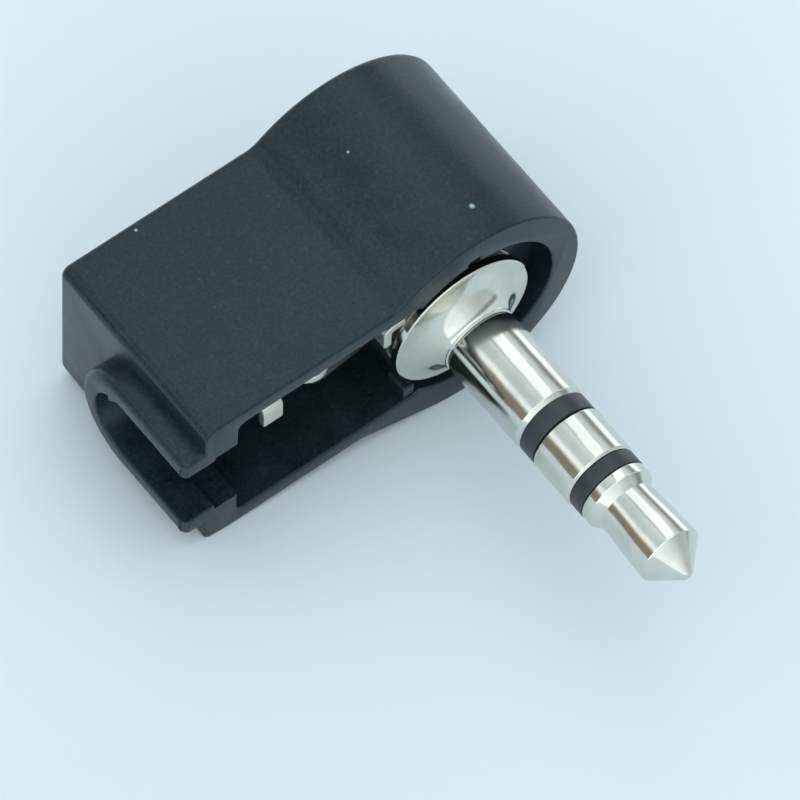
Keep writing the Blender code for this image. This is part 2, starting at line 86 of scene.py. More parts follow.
# Floor: half its side, drop under the plug, scale and depth of the painted light falloff (a soft
# noise that darkens it in broad patches), roughness
FLOOR_HALF = 1.5
FLOOR_DROP = 0.00001
FLOOR_FALLOFF_SCALE = 14.0
FLOOR_PAINTED_FALLOFF = 0.97
FLOOR_ROUGHNESS = 0.7
# Camera in the shell's frame: way back to it, place, and roll about that way
CAMERA_BACK = (0.32197, 0.38729, 0.86391)
CAMERA_PLACE = (0.174811, 0.206359, 0.457195)
CAMERA_ROLL = 0.045

# Where an outline's two values and its height go, by the axis it is carried along
AXES = {"Y": (0, 2, 1), "X": (1, 2, 0), "Z": (0, 1, 2)}
# Half of a corner's angle from which it counts as straight, the most of a run that an eased
# corner takes, and the turn from which an edge stays sharp
STRAIGHT = math.radians(89.0)
REACH = 0.49
SHARP = math.radians(32)

# Shell: slope under the head in degrees, the lip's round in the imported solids, corners
FLANK = 17.0
SOLID_LIP_ROUND = 0.00015
BAY_CORNER = 0.0004
LIP_CORNER = 0.0002
# How far each cutter stands past its mouth: those that meet the rim all differ, so that no
# two ends share a plane
PAST = {"key": 0.0009, "bore": 0.0010, "inner_bore": 0.0011, "bay": 0.0012,
        "wide_slot": 0.0013, "narrow_slot": 0.0014, "lip": 0.0010}
# Cable slot: how much wider its inner part is to a side, that part's run from the bay's end,
# and where the narrow cut starts
SLOT_STEP = 0.00025
SLOT_STEP_SPAN = (-0.001, 0.0012)
SLOT_START = -0.0005
# Key slot beside the bore: half its width, its reach out of and back into the bore, corners
KEY_HALF = 0.0003
KEY_OUT = 0.0003
KEY_REACH = 0.001
KEY_ROUND = 0.0001
# Snap nub on the neck's wall: from where to where along it, height, depths, and its rounds
# at the corners and at the front
NUB_SPAN = (0.0024, 0.0030)
NUB_HEIGHT = 0.00075
NUB_DEPTHS = (-0.0012, -0.0001)
NUB_ROUNDS = (0.00012, 0.00008)
# Nib in the lip's slot: its corners, their round and that of its ends, and its run from the
# lip's end
NIB = ((-0.00545, 0.00085), (-0.00465, 0.00168), (-0.00465, 0.0020), (-0.00545, 0.0019))
NIB_ROUNDS = (0.00008, 0.00006)
NIB_SPAN = (-0.0007, -0.00012)

# Behind the flange, along the pin: lengths of each piece
HUB_DEPTH = 0.0004
STRAP_SHEET = 0.0004
STAKE_HEIGHT = 0.0002
WASHER = 0.0006
TAG_SHEET = 0.00035
RING_FLARE = 0.00024
ROD_HEAD = 0.0004
# Radii of the pin's pieces
HUB_RADIUS = 0.0026
BOSS_RADIUS = 0.0023
SLEEVE_BORE = 0.00142
SLEEVE_EDGE = 0.0016
OUTER_BAND_RADIUS = 0.0017
RING_RADIUS = 0.00173
RING_TUBE = 0.0011
RING_BORE = 0.00088
RING_FLARE_RADII = (0.0015, 0.0013)
INNER_BAND_RADIUS = 0.00166
COLLAR_RADIUS = 0.00165
TIP_NECK = 0.00133
TIP_SWELL = 0.00148
TIP_END = 0.0004
ROD_RADIUS = 0.00056
ROD_HEAD_RADII = (0.001, 0.0007)
# Small edges of the turned pieces, and the groove at the sleeve's root: its depth and the
# heights of its corners above that root
SLEEVE_CHAMFER = 0.00022
RING_CHAMFER = 0.0001
FLANGE_EDGES = (0.00006, 0.00005)
GROOVE_DEPTH = 0.00007
GROOVE_HEIGHTS = (0.00022, 0.00017, 0.00007, 0.00002)
BAND_ROUND = 0.00005
# Tip: length of its collar, where the taper above it ends, and the power of the swelling
COLLAR_LENGTH = 0.0005
TAPER_END = 0.00092
SWELL_FALL = 1.5

# Strap: radii and rounds, the strip's edges below the rim, and the bow in its upper edge
PLATE_RADIUS = 0.0033
EYE_RADIUS = 0.00233
STAMPED_ROUND = 0.00006
HOOK_ROUNDS = (0.0002, 0.0001)
CLAMP_ROUND = 0.00018
STRIP_BACK = -0.0024
STRIP_LOW = -0.0010
STRIP_STEP = -0.0005
STRIP_STEP_START = 0.0003
BOW_MIDDLE = 0.00755
BOW_HALF = 0.00085
BOW_HEIGHT = 0.0004
BOW_FOOT = 0.0063

# Scale of each noise against the grain's size, then against the marks' density
FINER, BROAD, SPECKS = 2.7, 0.09, 0.55
COARSE, STAIN, SCRATCH, WAVES = 0.22, 0.08, 0.5, 0.06
# Shades of the shell's colour and of its flecks, the tint of its gloss, the swing of its
# roughness and the depth of its grain; then the plate's stain, swing, scratches and depth
SHELL_SHADES = (0.3, 1.7)
SHELL_FLECK = 2.2
GLOSS_TINT = (0.68, 0.92, 1.0, 1.0)
SHELL_SWING = (-0.05, 0.06)
SHELL_BUMP = 0.00003
NICKEL_STAIN = 0.86
NICKEL_SWING = 0.02
NICKEL_SCRATCH = 0.05
NICKEL_BUMP = 0.000035
# Grained looks: colour, its two shades, range of roughness, grain size, bump and metallic
GRAINED = {
    "tinned_sheet": ("tin", (0.8, 1.0), (0.24, 0.42), 3500.0, (0.35, 0.00001), 1.0),
    "moulded_insulation": ("band", (0.8, 1.2), (0.32, 0.45), 9000.0, (0.3, 0.00001), 0.0),
    "pressed_fibre": ("fibre", (0.7, 1.3), (0.75, 0.75), 5000.0, (0.6, 0.00003), 0.0)}


def length(name, text, default):
    """A length in metres that the panel shows."""
    return FloatProperty(name=name, description=text, default=default, precision=5,
                         subtype="DISTANCE", unit="LENGTH")


def colour(name, text, default):
    """A linear colour that the panel shows."""
    return FloatVectorProperty(name=name, description=text, default=default, size=3,
                               subtype="COLOR", min=0.0, max=1.0)


def share(name, text, default, high=1.0):
    """A plain number from zero up."""
    return FloatProperty(name=name, description=text, default=default, min=0.0, max=high)


class ShellSizes(bpy.types.PropertyGroup):
    """Sizes of the moulded shell."""

    head_radius: length("Head radius", "Radius of the round head", 0.0058)
    head_offset: length("Head offset", "Head centre from the pin axis", -0.0003)
    depth: length("Depth", "Shell depth from rim to back", 0.0101)
    neck_half: length("Neck half", "Half the neck's width", 0.00435)
    neck_end: length("Neck end", "End face from the pin axis", 0.0135)
    top_end_round: length("Upper end round", "Radius of the end's upper corner", 0.0005)
    low_end_round: length("Lower end round", "Radius of the end's lower corner", 0.0013)
    edge_round: length("Back edge round", "Radius of the back's outer edges", 0.0003)
    rim_round: length("Rim round", "Radius of the rim's outer edge", 0.00012)
    seated_round: length("Seated round", "Radius of the lower end corner at the rim", 0.00035)
    lip_round: length("Lip round", "Radius of the cable lip's outer edge", 0.0004)
    mouth_round: length("Mouth round", "Radius of the edges of bore, bay and slot", 0.00009)
    neck_fillet: length("Neck fillet", "Fillet between neck and head", 0.0010)
    back_wall: length("Back wall", "Thickness of the back", 0.0029)
    neck_wall: length("Neck wall", "Thickness of the neck's sides", 0.00085)
    end_wall: length("End wall", "Thickness of the end", 0.0017)
    bay_start: length("Bay start", "Near end of the wire bay", 0.0022)
    bore_radius: length("Bore radius", "Radius of the bore at the rim", 0.00425)
    bore_offset: length("Bore offset", "Bore centre from the pin axis", -0.00045)
    inner_bore: length("Inner bore", "Radius of the bore behind its seat", 0.0031)
    seat: length("Seat", "Depth of the seat in the bore", 0.00137)
    lip_length: length("Lip length", "How far the cable lip stands out", 0.0011)
    lip_wall: length("Lip wall", "Thickness of the cable lip", 0.0010)
    cable_half: length("Cable half", "Half the cable slot's width", 0.00185)
    cable_centre: length("Cable centre", "Depth of the cable's centre", 0.0043)


class PinSizes(bpy.types.PropertyGroup):
    """Sizes of the pin and of what holds it together behind the flange."""

    radius: length("Sleeve radius", "Radius of the sleeve", 0.00175)
    sleeve_length: length("Sleeve length", "Sleeve from the rim plane", 0.00595)
    flange_radius: length("Flange radius", "Radius of the flange", 0.00347)
    flange_front: length("Flange front", "Flange edge from the rim plane", -0.00006)
    flange_edge: length("Flange edge", "Thickness of the flange's edge", 0.00045)
    flare_length: length("Flare length", "Height of the bell flare", 0.0011)
    flare_turn: FloatProperty(name="Flare turn", description="Angle where flare meets sleeve",
                              default=math.radians(20.0), subtype="ANGLE", unit="ROTATION")
    outer_band: length("Outer band", "Length of the band after the sleeve", 0.0009)
    ring_length: length("Ring length", "Length of the ring contact", 0.00239)
    inner_band: length("Inner band", "Length of the band before the tip", 0.00076)
    tip_length: length("Tip length", "Length of the tip contact", 0.00514)
    tip_cone: length("Tip cone", "Length of the tip's cone", 0.00129)
    fit: length("Fit", "Clearance between the pin's pieces", 0.00003)


class StrapSizes(bpy.types.PropertyGroup):
    """Sizes of the ground strap."""

    sheet: length("Sheet", "Thickness of the sheet", STRAP_SHEET)
    wall_gap: length("Wall gap", "Gap to the neck's wall", 0.0003)
    rim_drop: length("Rim drop", "Depth of its edge below the rim", 0.0001)
    hook_start: length("Hook start", "Near end of the hook", 0.00305)
    hook_length: length("Hook length", "Length of the hook", 0.0011)
    hook_drop: length("Hook drop", "How far the hook's web reaches in", 0.0012)
    bend: length("Bend", "Radius of the bends", 0.0004)
    clamp_start: length("Clamp start", "Near end of the cable clamp", 0.0094)
    clamp_length: length("Clamp length", "Length of the cable clamp", 0.0010)
    clamp_depth: length("Clamp depth", "Depth of the clamp's far ear", 0.0065)
    clamp_ear: length("Clamp ear", "Length of the clamp's ears", 0.0013)


class Finishes(bpy.types.PropertyGroup):
    """Colours and surface values."""

    shell: colour("Shell", "Moulded shell", (0.008, 0.016, 0.020))
    shell_roughness: share("Shell roughness", "Roughness of the moulding", 0.32)
    grain: share("Grain", "Strength of the moulded grain", 0.5)
    dust: colour("Dust", "Dust on the moulding", (0.30, 0.40, 0.46))
    nickel: colour("Nickel", "Nickel plate", (0.69, 0.70, 0.64))
    nickel_roughness: share("Nickel roughness", "Roughness of the plate", 0.13)
    tin: colour("Tin", "Tinned sheet", (0.68, 0.68, 0.62))
    band: colour("Bands", "Insulating bands", (0.018, 0.026, 0.031))
    fibre: colour("Fibre", "Fibre washers", (0.045, 0.042, 0.038))


class StageValues(bpy.types.PropertyGroup):
    """Floor, lamp, room and camera."""

    floor: colour("Floor", "Floor colour", (0.73, 0.81, 0.87))
    lamp: share("Lamp", "Power of the overhead lamp in watts", 0.30, 50.0)
    fill: share("Fill", "Strength of the room's light", 1.09, 5.0)
    front: share("Front", "Level of the room on the tip's side", 1.0, 5.0)
    side: share("Side", "Room's light on the cable's side, against the fill", 1.75, 5.0)
    lens: FloatProperty(name="Lens", description="Focal length in millimetres", default=573.12)
    steps: IntProperty(name="Steps", description="Points round a turned piece", default=192)


def rest_turn(sizes):
    """Turn that brings the head's circle and the end's lower round down to one plane: the
    arcsine of the drop over their distance, less the angle between them.
    """
    end = sizes.low_end_round
    along = sizes.neck_end - sizes.head_offset - end
    across = sizes.neck_half - end
    turn = math.asin((sizes.head_radius - end) / math.hypot(along, across))
    return turn - math.atan2(across, along)


def rest_matrix(sizes, pin):
    """Turn and shift that lay the plug down on its head's round and its neck's end: the
    middle of the lying plug's box comes over the origin.
    """
    turn = rest_turn(sizes)
    low_x = sizes.head_offset * math.cos(turn) - sizes.head_radius
    far = sizes.neck_end + sizes.lip_length - SOLID_LIP_ROUND
    half = sizes.cable_half + sizes.lip_wall - SOLID_LIP_ROUND
    high_x = far * math.cos(turn) + half * math.sin(turn) + SOLID_LIP_ROUND
    low_z = -sizes.head_offset * math.sin(turn) - sizes.head_radius
    middle_y = (pin_places(pin).tip_end - sizes.depth) / 2
    place = Vector((-(low_x + high_x) / 2, -middle_y, -low_z))
    return Matrix.Translation(place) @ Matrix.Rotation(turn, 4, "Y")


def pin_places(pin):
    """Heights along the pin that follow from its lengths and the fit between pieces: those
    of bands, ring and tip upwards from the sleeve, and the rest downwards from the flange.
    """
    places = {}
    height = pin.sleeve_length
    for label, size in (("band_1", pin.outer_band), ("ring", pin.ring_length),
                        ("band_2", pin.inner_band), ("tip", pin.tip_length)):
        places[label] = height + pin.fit
        places[label + "_end"] = height = places[label] + size
    stack = WASHER + TAG_SHEET + pin.fit * 3
    height = pin.flange_front
    for label, size in (("flange_back", pin.flange_edge), ("hub_back", HUB_DEPTH),
                        ("stake", pin.fit * 2 + STRAP_SHEET), ("sleeve_back", STAKE_HEIGHT),
                        ("ring_flare", stack), ("ring_back", RING_FLARE),
                        ("rod_head", stack)):
        places[label] = height = height - size
    return SimpleNamespace(**places)


def arc(centre, radius, start, end, steps):
    """Arc: the centre plus the radius times cosine and sine of evenly spaced angles."""
    turn = np.radians(np.linspace(start, end, steps + 1))
    return np.asarray(centre) + radius * np.column_stack((np.cos(turn), np.sin(turn)))


def circle(middle, radius, steps):
    """Closed outline of a circle whose centre lies on the outline's first axis."""
    return arc((middle, 0), radius, 0, 360, steps)[:-1]


def rectangle(left, right, low, high):
    """Corners of a rectangle, anticlockwise."""
    return [[left, low], [right, low], [right, high], [left, high]]


def eased(points, radii, closed=True, steps=5):
    """Polyline with its corners eased: each corner becomes the arc that touches both of
    its runs, at the radius divided by the tangent of half the angle between them.
    """
    points = np.asarray(points, dtype=float)
    radii = np.broadcast_to(radii, len(points))
    runs = []
    for index, at in enumerate(points):
        last = index in (0, len(points) - 1) and not closed
        if last or radii[index] <= 0:
            runs.append(at[None])
            continue
        ways = []
        reach = []
        for other in (points[index - 1], points[(index + 1) % len(points)]):
            step = other - at
            reach.append(np.linalg.norm(step))
            ways.append(step / reach[-1])
        half = math.acos(np.clip(np.dot(*ways), -1, 1)) / 2
        if half > STRAIGHT:
            runs.append(at[None])
            continue
        touch = min(radii[index] / math.tan(half), REACH * min(reach))
        radius = touch * math.tan(half)
        centre = at + (ways[0] + ways[1]) / (2 * math.cos(half)) * radius / math.sin(half)
        ends = [(at + way * touch - centre) / radius for way in ways]
        sweep = math.pi - 2 * half
        k = np.linspace(0, 1, steps + 1)[:, None]
        runs.append(centre + radius * (np.sin((1 - k) * sweep) * ends[0]
                                       + np.sin(k * sweep) * ends[1]) / math.sin(sweep))
    return np.vstack(runs)


def mitres(outline):
    """Outward mitre at each point of a closed outline that runs anticlockwise: the sum of
    its two runs' unit normals over one plus their dot product.
    """
    steps = np.roll(outline, -1, axis=0) - outline
    steps /= np.linalg.norm(steps, axis=1)[:, None]
    after = np.column_stack((steps[:, 1], -steps[:, 0]))
    before = np.roll(after, 1, axis=0)
    return (before + after) / (1 + np.sum(before * after, axis=1))[:, None]


def carried(outline, rows):
    """Grid of an outline carried through rows of (inset, height): each row is the outline
    moved in along its mitres by the inset, at that height.
    """
    rows = np.asarray(rows)
    flat = outline[None] - rows[:, 0, None, None] * mitres(outline)[None]
    heights = np.broadcast_to(rows[:, 1, None], flat.shape[:2])
    return np.dstack((flat, heights))


def rounded_rows(low, high, low_round, high_round, steps=4):
    """Rows whose inset follows a quarter circle at either end of the carried length."""
    turn = np.linspace(0, math.pi / 2, steps + 1)
    rows = []
    if low_round > 0:
        rows.append(np.column_stack((low_round * (1 - np.sin(turn)),
                                     low + low_round * (1 - np.cos(turn)))))
    else:
        rows.append([[0.0, low]])
    if high_round > 0:
        rows.append(np.column_stack((high_round * (1 - np.cos(turn)),
                                     high - high_round * (1 - np.sin(turn)))))
    else:
        rows.append([[0.0, high]])
    return np.vstack(rows)


def linked(name, data):
    """Object of that name with its data, in the scene."""
    holder = bpy.data.objects.new(name, data)
    bpy.context.scene.collection.objects.link(holder)
    return holder


def grid_object(name, grid, wrap_rows, wrap_steps, caps=False):
    """Object from a grid of points: quads between neighbours, wrapped where asked, and
    triangles over each open end where the grid has caps.
    """
    rows, steps = grid.shape[:2]
    index = np.arange(rows * steps).reshape(rows, steps)
    if wrap_rows:
        index = np.vstack((index, index[:1]))
    if wrap_steps:
        index = np.hstack((index, index[:, :1]))
    quads = np.stack((index[:-1, :-1], index[:-1, 1:], index[1:, 1:], index[1:, :-1]), axis=-1)
    faces = quads.reshape(-1, 4).tolist()
    if caps:
        faces.append(np.arange(steps).tolist())
        faces.append(np.arange((rows - 1) * steps, rows * steps).tolist())
    mesh = bpy.data.meshes.new(name)
    mesh.from_pydata(grid.reshape(-1, 3).tolist(), [], faces)
    clean = bmesh.new()
    clean.from_mesh(mesh)
    bmesh.ops.remove_doubles(clean, verts=clean.verts, dist=MERGE)
    bmesh.ops.recalc_face_normals(clean, faces=clean.faces)
    bmesh.ops.triangulate(clean, faces=[face for face in clean.faces if len(face.verts) > 4])
    clean.to_mesh(mesh)
    clean.free()
    return linked(name, mesh)


def prism(name, outline, axis, rows, last=None):
    """Closed solid of an outline carried along an axis. With a last outline of as many
    points, each row is a blend of the two, by its share of the way from first to last.
    """
    outline = np.asarray(outline)
    steps = outline - np.roll(outline, 1, axis=0)
    way = 1 if np.sum(outline[:, 0] * steps[:, 1] - outline[:, 1] * steps[:, 0]) > 0 else -1
    grid = carried(outline[::way], rows)
    if last is not None:
        height = grid[..., 2:]
        reached = (height - height.min()) / (height.max() - height.min())
        grid = (1 - reached) * grid + reached * carried(last[::way], rows)
    first, second, along = AXES[axis]
    placed = np.empty_like(grid)
    placed[..., first] = grid[..., 0]
    placed[..., second] = grid[..., 1]
    placed[..., along] = grid[..., 2]
    return grid_object(name, placed, False, True, caps=True)


def turned(name, profile, steps, closed=True):
    """Turned solid: each profile point (radius, height) goes round the pin's axis, at the
    radius times cosine and sine of the angle, and keeps its height along Y.
    """
    profile = np.asarray(profile)
    turn = np.linspace(0, 2 * math.pi, steps, endpoint=False)
    grid = np.empty((len(profile), steps, 3))
    grid[..., 0] = profile[:, 0, None] * np.cos(turn)
    grid[..., 1] = profile[:, 1, None]
    grid[..., 2] = profile[:, 0, None] * np.sin(turn)
    return grid_object(name, grid, closed, True)


def combined(base, steps, name):
    """Mesh of a solid after its unions and cuts, with the tools removed."""
    for operation, tool in steps:
        change = base.modifiers.new(tool.name, "BOOLEAN")
        change.operation = operation
        change.object = tool
        change.solver = "MANIFOLD"
    bpy.context.view_layer.update()
    graph = bpy.context.evaluated_depsgraph_get()
    mesh = bpy.data.meshes.new_from_object(base.evaluated_get(graph))
    for item in (base, *(tool for _, tool in steps)):
        bpy.data.objects.remove(item, do_unlink=True)
    mesh.name = name
    return linked(name, mesh)


def dress(solid, look, slot, *nodes):
    """Lay a finished piece down with the plug, shade it, give it its look, and hide the imported
    parts that it takes the place of.
    """
    scene = bpy.context.scene
    solid.data.transform(rest_matrix(scene.plug_shell, scene.plug_pin))
    solid.data.shade_smooth()
    solid.data.set_sharp_from_angle(angle=SHARP)
    solid.data.materials.clear()
    solid.data.materials.append(look)
    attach(solid, BODY)
    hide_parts(*nodes)


def new_group(name, inputs, outputs):
    """Empty shader node group with named inputs (name, kind, default) and outputs."""
    tree = bpy.data.node_groups.new(name, "ShaderNodeTree")
    for label, kind, default in inputs:
        socket = tree.interface.new_socket(label, in_out="INPUT", socket_type=kind)
        if default is not None:
            socket.default_value = default
    for label, kind in outputs:
        tree.interface.new_socket(label, in_out="OUTPUT", socket_type=kind)
    return tree, tree.nodes.new("NodeGroupInput"), tree.nodes.new("NodeGroupOutput")


def feed(tree, value, socket):
    """Feed a socket from another socket or with a plain value."""
    if isinstance(value, bpy.types.NodeSocket):
        tree.links.new(value, socket)
    else:
        socket.default_value = value


def math_node(tree, operation, *values):
    """Math node fed by sockets or plain numbers."""
    node = tree.nodes.new("ShaderNodeMath")
    node.operation = operation
    for value, socket in zip(values, node.inputs):
        feed(tree, value, socket)
    return node.outputs[0]


def times(tree, first, second):
    """Product of two values."""
    return math_node(tree, "MULTIPLY", first, second)


def plus(tree, first, second):
    """Sum of two values."""
    return math_node(tree, "ADD", first, second)


def noise(tree, place, scale, detail, roughness, line=False):
    """Noise value at a scale, in space or along a line that one value runs along."""
    node = tree.nodes.new("ShaderNodeTexNoise")
    node.noise_dimensions = "1D" if line else "3D"
    node.inputs["Detail"].default_value = detail
    node.inputs["Roughness"].default_value = roughness
    feed(tree, scale, node.inputs["Scale"])
    tree.links.new(place, node.inputs["W" if line else "Vector"])
    return node.outputs["Fac"]


def spread(tree, value, low, high, to_low=0.0, to_high=1.0):
    """Map a value from one range to another, held at its ends."""
    node = tree.nodes.new("ShaderNodeMapRange")
    tree.links.new(value, node.inputs["Value"])
    for label, number in (("From Min", low), ("From Max", high),
                          ("To Min", to_low), ("To Max", to_high)):
        feed(tree, number, node.inputs[label])
    return node.outputs["Result"]


def mix_colour(tree, amount, first, second):
    """Blend of two colours, each a socket or three plain numbers."""
    node = tree.nodes.new("ShaderNodeMix")
    node.data_type = "RGBA"
    tree.links.new(amount, node.inputs["Factor"])
    for socket, value in ((node.inputs[6], first), (node.inputs[7], second)):
        if isinstance(value, bpy.types.NodeSocket):
            tree.links.new(value, socket)
        else:
            socket.default_value = (*value, 1.0)
    return node.outputs[2]


def colour_ramp(tree, value, stops):
    """Colour ramp with a stop at each (place, level, tint): the tint times the level."""
    node = tree.nodes.new("ShaderNodeValToRGB")
    tree.links.new(value, node.inputs["Fac"])
    elements = node.color_ramp.elements
    for place, level, tint in stops:
        if place == 0:
            stop = elements[0]
        elif place == 1:
            stop = elements[-1]
        else:
            stop = elements.new(place)
        stop.color = (*(level * channel for channel in tint), 1.0)
    return node.outputs["Color"]


def grain_group():
    """Fine moulded grain: a small noise and a smaller one give the height, a broad noise
    gives a slow mottle, and the peaks of a noise between them give sparse flecks.
    """
    tree, given, out = new_group(
        "moulded_grain",
        (("Vector", "NodeSocketVector", None), ("Grain size", "NodeSocketFloat", 6000.0)),
        (("Height", "NodeSocketFloat"), ("Mottle", "NodeSocketFloat"),
         ("Speckle", "NodeSocketFloat")))
    vector = given.outputs["Vector"]
    size = given.outputs["Grain size"]
    fine = noise(tree, vector, size, 2.0, 0.6)
    finer = noise(tree, vector, times(tree, size, FINER), 2.0, 0.6)
    broad = noise(tree, vector, times(tree, size, BROAD), 4.0, 0.62)
    specks = noise(tree, vector, times(tree, size, SPECKS), 1.0, 0.5)
    height = plus(tree, times(tree, fine, 0.65), times(tree, finer, 0.35))
    tree.links.new(height, out.inputs["Height"])
    tree.links.new(spread(tree, broad, 0.3, 0.7), out.inputs["Mottle"])
    tree.links.new(spread(tree, specks, 0.62, 0.78), out.inputs["Speckle"])
    return tree


def dust_group():
    """One speck of dust: a mask that falls from one to zero at its size from its place."""
    tree, given, out = new_group(
        "dust_speck",
        (("Vector", "NodeSocketVector", None), ("Place", "NodeSocketVector", None),
         ("Size", "NodeSocketFloat", 0.0001)),
        (("Mask", "NodeSocketFloat"),))
    away = tree.nodes.new("ShaderNodeVectorMath")
    away.operation = "DISTANCE"
    tree.links.new(given.outputs["Vector"], away.inputs[0])
    tree.links.new(given.outputs["Place"], away.inputs[1])
    ratio = math_node(tree, "DIVIDE", away.outputs["Value"], given.outputs["Size"])
    tree.links.new(spread(tree, ratio, 1.25, 0.6), out.inputs["Mask"])
    return tree


def turning_group():
    """Marks of turning: noise along the height plus the distance from the pin's axis, so
    the marks run round a cylinder and in rings on a face, with slow waves of the polish
    under them, and a slow stain and sparse scratches beside them.
    """
    tree, given, out = new_group(
        "turning_marks",
        (("Vector", "NodeSocketVector", None), ("Density", "NodeSocketFloat", 9000.0)),
        (("Height", "NodeSocketFloat"), ("Stain", "NodeSocketFloat"),
         ("Scratch", "NodeSocketFloat")))
    vector = given.outputs["Vector"]
    density = given.outputs["Density"]
    split = tree.nodes.new("ShaderNodeSeparateXYZ")
    tree.links.new(vector, split.inputs[0])
    along, height, across = split.outputs
    squares = plus(tree, times(tree, along, along), times(tree, across, across))
    run = plus(tree, math_node(tree, "SQRT", squares), height)
    marks = noise(tree, run, density, 3.0, 0.65, line=True)
    coarse = noise(tree, run, times(tree, density, COARSE), 2.0, 0.5, line=True)
    stain = noise(tree, vector, times(tree, density, STAIN), 4.0, 0.6)
    scratch = noise(tree, vector, times(tree, density, SCRATCH), 2.0, 0.5)
    waves = noise(tree, vector, times(tree, density, WAVES), 1.0, 0.5)
    relief = plus(tree, times(tree, marks, 0.012), times(tree, coarse, 0.008))
    tree.links.new(plus(tree, relief, waves), out.inputs["Height"])
    tree.links.new(spread(tree, stain, 0.38, 0.68), out.inputs["Stain"])
    tree.links.new(spread(tree, scratch, 0.6, 0.75), out.inputs["Scratch"])
    return tree


class Look:
    """One Principled material with object coordinates centred on the pin's axis."""

    def __init__(self, name, roughness, metallic=0.0, ior=1.5):
        self.material = bpy.data.materials.new(name)
        self.material.use_nodes = True
        self.tree = self.material.node_tree
        self.shader = self.tree.nodes["Principled BSDF"]
        self.shader.inputs["Roughness"].default_value = roughness
        self.shader.inputs["Metallic"].default_value = metallic
        self.shader.inputs["IOR"].default_value = ior
        place = self.tree.nodes.new("ShaderNodeTexCoord")
        shift = self.tree.nodes.new("ShaderNodeMapping")
        scene = bpy.context.scene
        self.rest = rest_matrix(scene.plug_shell, scene.plug_pin)
        self.shift = self.rest.translation * Vector((-1.0, 0.0, -1.0))
        shift.inputs["Location"].default_value = self.shift
        self.tree.links.new(place.outputs["Object"], shift.inputs["Vector"])
        self.vector = shift.outputs["Vector"]

    def effect(self, group, **values):
        """Place a shared effect group, with its own values."""
        node = self.tree.nodes.new("ShaderNodeGroup")
        node.node_tree = group
        self.tree.links.new(self.vector, node.inputs["Vector"])
        for label, value in values.items():
            node.inputs[label.replace("_", " ").capitalize()].default_value = value
        return node.outputs

    def set(self, label, socket):
        """Feed one of the shader's sockets."""
        self.tree.links.new(socket, self.shader.inputs[label])

    def bump(self, height, strength, distance):
        """Bump from a height, in metres."""
        node = self.tree.nodes.new("ShaderNodeBump")
        node.inputs["Strength"].default_value = strength
        node.inputs["Distance"].default_value = distance
        self.tree.links.new(height, node.inputs["Height"])
        self.set("Normal", node.outputs["Normal"])


def tinted(colour_value, factor):
    """A colour scaled by a factor and held within one."""
    return tuple(min(channel * factor, 1.0) for channel in colour_value)


def shared_group(name, maker):
    """The group of that name, built once."""
    return bpy.data.node_groups.get(name) or maker()


def look_named(name, maker):
    """The material of that name, built once."""
    return bpy.data.materials.get(name) or maker(name)


def shell_look(name):
    """Matt moulded plastic with fine grain, slow mottle and a few specks of dust."""
    values = bpy.context.scene.plug_finishes
    look = Look(name, values.shell_roughness, ior=1.45)
    look.shader.inputs["Specular Tint"].default_value = GLOSS_TINT
    grain = look.effect(shared_group("moulded_grain", grain_group), grain_size=7000.0)
    tree = look.tree
    fine = plus(tree, times(tree, grain["Mottle"], 0.35),
                spread(tree, grain["Height"], 0.37, 0.63, 0.0, 0.65))
    base = mix_colour(tree, fine, *(tinted(values.shell, shade) for shade in SHELL_SHADES))
    base = mix_colour(tree, times(tree, grain["Speckle"], 0.7), base,
                      tinted(values.shell, SHELL_FLECK))
    for place, size in DUST:
        speck = look.effect(shared_group("dust_speck", dust_group), size=size,
                            place=look.rest @ Vector(place) + look.shift)
        base = mix_colour(tree, speck["Mask"], base, values.dust)
    look.set("Base Color", base)
    look.set("Roughness", spread(tree, grain["Mottle"], 0.0, 1.0,
                                 *(values.shell_roughness + swing for swing in SHELL_SWING)))
    look.bump(grain["Height"], values.grain, SHELL_BUMP)
    return look.material


def nickel_look(name):
    """Nickel plate with turning marks, slow stains and a few fine scratches."""
    values = bpy.context.scene.plug_finishes
    look = Look(name, values.nickel_roughness, metallic=1.0)
    marks = look.effect(shared_group("turning_marks", turning_group), density=9000.0)
    tree = look.tree
    look.set("Base Color", mix_colour(tree, marks["Stain"], values.nickel,
                                      tinted(values.nickel, NICKEL_STAIN)))
    rough = spread(tree, marks["Stain"], 0.0, 1.0, values.nickel_roughness - NICKEL_SWING,
                   values.nickel_roughness + NICKEL_SWING)
    look.set("Roughness", plus(tree, rough, times(tree, marks["Scratch"], NICKEL_SCRATCH)))
    look.bump(marks["Height"], 1.0, NICKEL_BUMP)
    return look.material


def grained_look(name):
    """Finish with moulded grain: its mottle runs between two shades of the colour and over
    a range of roughness.
    """
    label, shades, gloss, size, bump, metallic = GRAINED[name]
    shade = getattr(bpy.context.scene.plug_finishes, label)
    look = Look(name, gloss[0], metallic=metallic)
    grain = look.effect(shared_group("moulded_grain", grain_group), grain_size=size)
    look.set("Base Color", mix_colour(look.tree, grain["Mottle"], tinted(shade, shades[0]),
                                      tinted(shade, shades[1])))
    look.set("Roughness", spread(look.tree, grain["Mottle"], 0.0, 1.0, *gloss))
    look.bump(grain["Height"], *bump)
    return look.material


def low_corner(sizes):
    """Lower end corner at the back: a quarter circle."""
    low = sizes.low_end_round
    return arc((sizes.neck_end - low, low - sizes.neck_half), low, -90, 0, 20)


